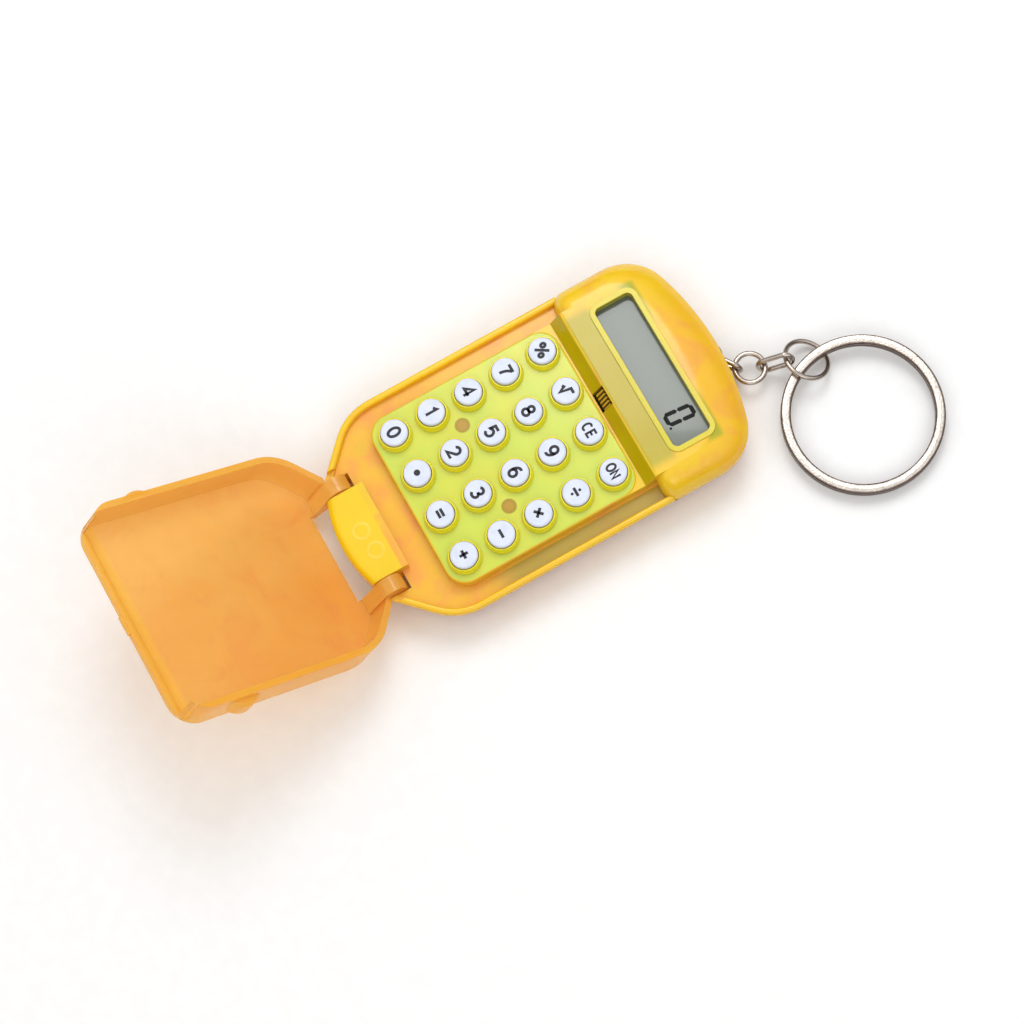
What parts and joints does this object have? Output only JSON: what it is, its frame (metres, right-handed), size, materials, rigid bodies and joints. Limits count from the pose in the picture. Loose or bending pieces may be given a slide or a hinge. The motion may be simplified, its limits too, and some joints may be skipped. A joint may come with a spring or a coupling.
{
  "type": "key-ring pocket calculator",
  "caption": "Small translucent pocket calculator with a see-through flip cover, round keys, a display window, and a short chain with a split key ring.",
  "frame": {"origin": "centre of the casing's flat back, which lies on the table", "axes": "+Z out of the key face, +Y from the hinge to the display, +X to the user's right"},
  "size_m": [0.0492, 0.1194, 0.0287],
  "materials": {
    "casing_yellow": "clear tinted, glossy",
    "cover_orange": "clear tinted, glossy",
    "key_white": "satin with printed legends",
    "mat_rubber": "matte",
    "carbon": "matte",
    "board": "solder mask",
    "epoxy": "cast",
    "display": "polarised",
    "ribbon": "printed film",
    "cell_steel": "nickel plated",
    "contact_steel": "rolled",
    "screw_steel": "zinc plated",
    "ring_nickel": "nickel plated wire"
  },
  "bodies": {
    "casing": {"front_casing": "casing_yellow", "rear_casing": "casing_yellow", "keypad_mat": "mat_rubber", "circuit_board": "board", "chip_blob": "epoxy", "lcd_glass": "display", "display_ribbon": "ribbon", "button_cell": "cell_steel", "battery_contact_plus": "contact_steel", "battery_contact_minus": "contact_steel", "case_screws": "screw_steel", "ring_eyelet": "ring_nickel"},
    "cover": {"flip_cover": "cover_orange"},
    "button_0": {"key_0": "key_white", "pill_0": "carbon"},
    "button_point": {"key_point": "key_white", "pill_point": "carbon"},
    "button_equals": {"key_equals": "key_white", "pill_equals": "carbon"},
    "button_plus": {"key_plus": "key_white", "pill_plus": "carbon"},
    "button_1": {"key_1": "key_white", "pill_1": "carbon"},
    "button_2": {"key_2": "key_white", "pill_2": "carbon"},
    "button_3": {"key_3": "key_white", "pill_3": "carbon"},
    "button_minus": {"key_minus": "key_white", "pill_minus": "carbon"},
    "button_4": {"key_4": "key_white", "pill_4": "carbon"},
    "button_5": {"key_5": "key_white", "pill_5": "carbon"},
    "button_6": {"key_6": "key_white", "pill_6": "carbon"},
    "button_times": {"key_times": "key_white", "pill_times": "carbon"},
    "button_7": {"key_7": "key_white", "pill_7": "carbon"},
    "button_8": {"key_8": "key_white", "pill_8": "carbon"},
    "button_9": {"key_9": "key_white", "pill_9": "carbon"},
    "button_divide": {"key_divide": "key_white", "pill_divide": "carbon"},
    "button_percent": {"key_percent": "key_white", "pill_percent": "carbon"},
    "button_root": {"key_root": "key_white", "pill_root": "carbon"},
    "button_ce": {"key_ce": "key_white", "pill_ce": "carbon"},
    "button_on": {"key_on": "key_white", "pill_on": "carbon"},
    "first_link": {"chain_link_1": "ring_nickel"},
    "second_link": {"chain_link_2": "ring_nickel"},
    "third_link": {"chain_link_3": "ring_nickel"},
    "small_ring": {"jump_ring": "ring_nickel"},
    "key_ring": {"split_ring": "ring_nickel"}
  },
  "joints": [
    {"name": "cover_hinge", "type": "hinge", "parent": "casing", "child": "cover", "pos_m": [0, -0.02884, 0.0052], "axis": [-1, 0, 0], "range_deg": [0, 143.2]},
    {"name": "press_0", "type": "slide", "parent": "casing", "child": "button_0", "axis": [0, 0, -1], "range_m": [0, 0.0007], "stiffness_N_per_m": 600},
    {"name": "press_point", "type": "slide", "parent": "casing", "child": "button_point", "axis": [0, 0, -1], "range_m": [0, 0.0007], "stiffness_N_per_m": 600},
    {"name": "press_equals", "type": "slide", "parent": "casing", "child": "button_equals", "axis": [0, 0, -1], "range_m": [0, 0.0007], "stiffness_N_per_m": 600},
    {"name": "press_plus", "type": "slide", "parent": "casing", "child": "button_plus", "axis": [0, 0, -1], "range_m": [0, 0.0007], "stiffness_N_per_m": 600},
    {"name": "press_1", "type": "slide", "parent": "casing", "child": "button_1", "axis": [0, 0, -1], "range_m": [0, 0.0007], "stiffness_N_per_m": 600},
    {"name": "press_2", "type": "slide", "parent": "casing", "child": "button_2", "axis": [0, 0, -1], "range_m": [0, 0.0007], "stiffness_N_per_m": 600},
    {"name": "press_3", "type": "slide", "parent": "casing", "child": "button_3", "axis": [0, 0, -1], "range_m": [0, 0.0007], "stiffness_N_per_m": 600},
    {"name": "press_minus", "type": "slide", "parent": "casing", "child": "button_minus", "axis": [0, 0, -1], "range_m": [0, 0.0007], "stiffness_N_per_m": 600},
    {"name": "press_4", "type": "slide", "parent": "casing", "child": "button_4", "axis": [0, 0, -1], "range_m": [0, 0.0007], "stiffness_N_per_m": 600},
    {"name": "press_5", "type": "slide", "parent": "casing", "child": "button_5", "axis": [0, 0, -1], "range_m": [0, 0.0007], "stiffness_N_per_m": 600},
    {"name": "press_6", "type": "slide", "parent": "casing", "child": "button_6", "axis": [0, 0, -1], "range_m": [0, 0.0007], "stiffness_N_per_m": 600},
    {"name": "press_times", "type": "slide", "parent": "casing", "child": "button_times", "axis": [0, 0, -1], "range_m": [0, 0.0007], "stiffness_N_per_m": 600},
    {"name": "press_7", "type": "slide", "parent": "casing", "child": "button_7", "axis": [0, 0, -1], "range_m": [0, 0.0007], "stiffness_N_per_m": 600},
    {"name": "press_8", "type": "slide", "parent": "casing", "child": "button_8", "axis": [0, 0, -1], "range_m": [0, 0.0007], "stiffness_N_per_m": 600},
    {"name": "press_9", "type": "slide", "parent": "casing", "child": "button_9", "axis": [0, 0, -1], "range_m": [0, 0.0007], "stiffness_N_per_m": 600},
    {"name": "press_divide", "type": "slide", "parent": "casing", "child": "button_divide", "axis": [0, 0, -1], "range_m": [0, 0.0007], "stiffness_N_per_m": 600},
    {"name": "press_percent", "type": "slide", "parent": "casing", "child": "button_percent", "axis": [0, 0, -1], "range_m": [0, 0.0007], "stiffness_N_per_m": 600},
    {"name": "press_root", "type": "slide", "parent": "casing", "child": "button_root", "axis": [0, 0, -1], "range_m": [0, 0.0007], "stiffness_N_per_m": 600},
    {"name": "press_ce", "type": "slide", "parent": "casing", "child": "button_ce", "axis": [0, 0, -1], "range_m": [0, 0.0007], "stiffness_N_per_m": 600},
    {"name": "press_on", "type": "slide", "parent": "casing", "child": "button_on", "axis": [0, 0, -1], "range_m": [0, 0.0007], "stiffness_N_per_m": 600},
    {"name": "first_link_lift", "type": "hinge", "parent": "casing", "child": "first_link", "pos_m": [0.00178, 0.02944, 0.0023], "axis": [0.5592, -0.829, 0], "range_deg": [0, 10]},
    {"name": "second_link_swing", "type": "hinge", "parent": "first_link", "child": "second_link", "pos_m": [0.00468, 0.03139, 0.0023], "axis": [0, 0, 1], "range_deg": [-8, 20]},
    {"name": "third_link_lift", "type": "hinge", "parent": "second_link", "child": "third_link", "pos_m": [0.00588, 0.03482, 0.00205], "axis": [0.9397, -0.3421, 0], "range_deg": [0, 20]},
    {"name": "small_ring_swing", "type": "hinge", "parent": "third_link", "child": "small_ring", "pos_m": [0.00721, 0.0385, 0.00382], "axis": [0, 0, 1], "range_deg": [-5, 10]},
    {"name": "key_ring_swing", "type": "hinge", "parent": "small_ring", "child": "key_ring", "pos_m": [0.00816, 0.04052, 0.0021], "axis": [0, 0, 1], "range_deg": [-4, 8]}
  ]
}
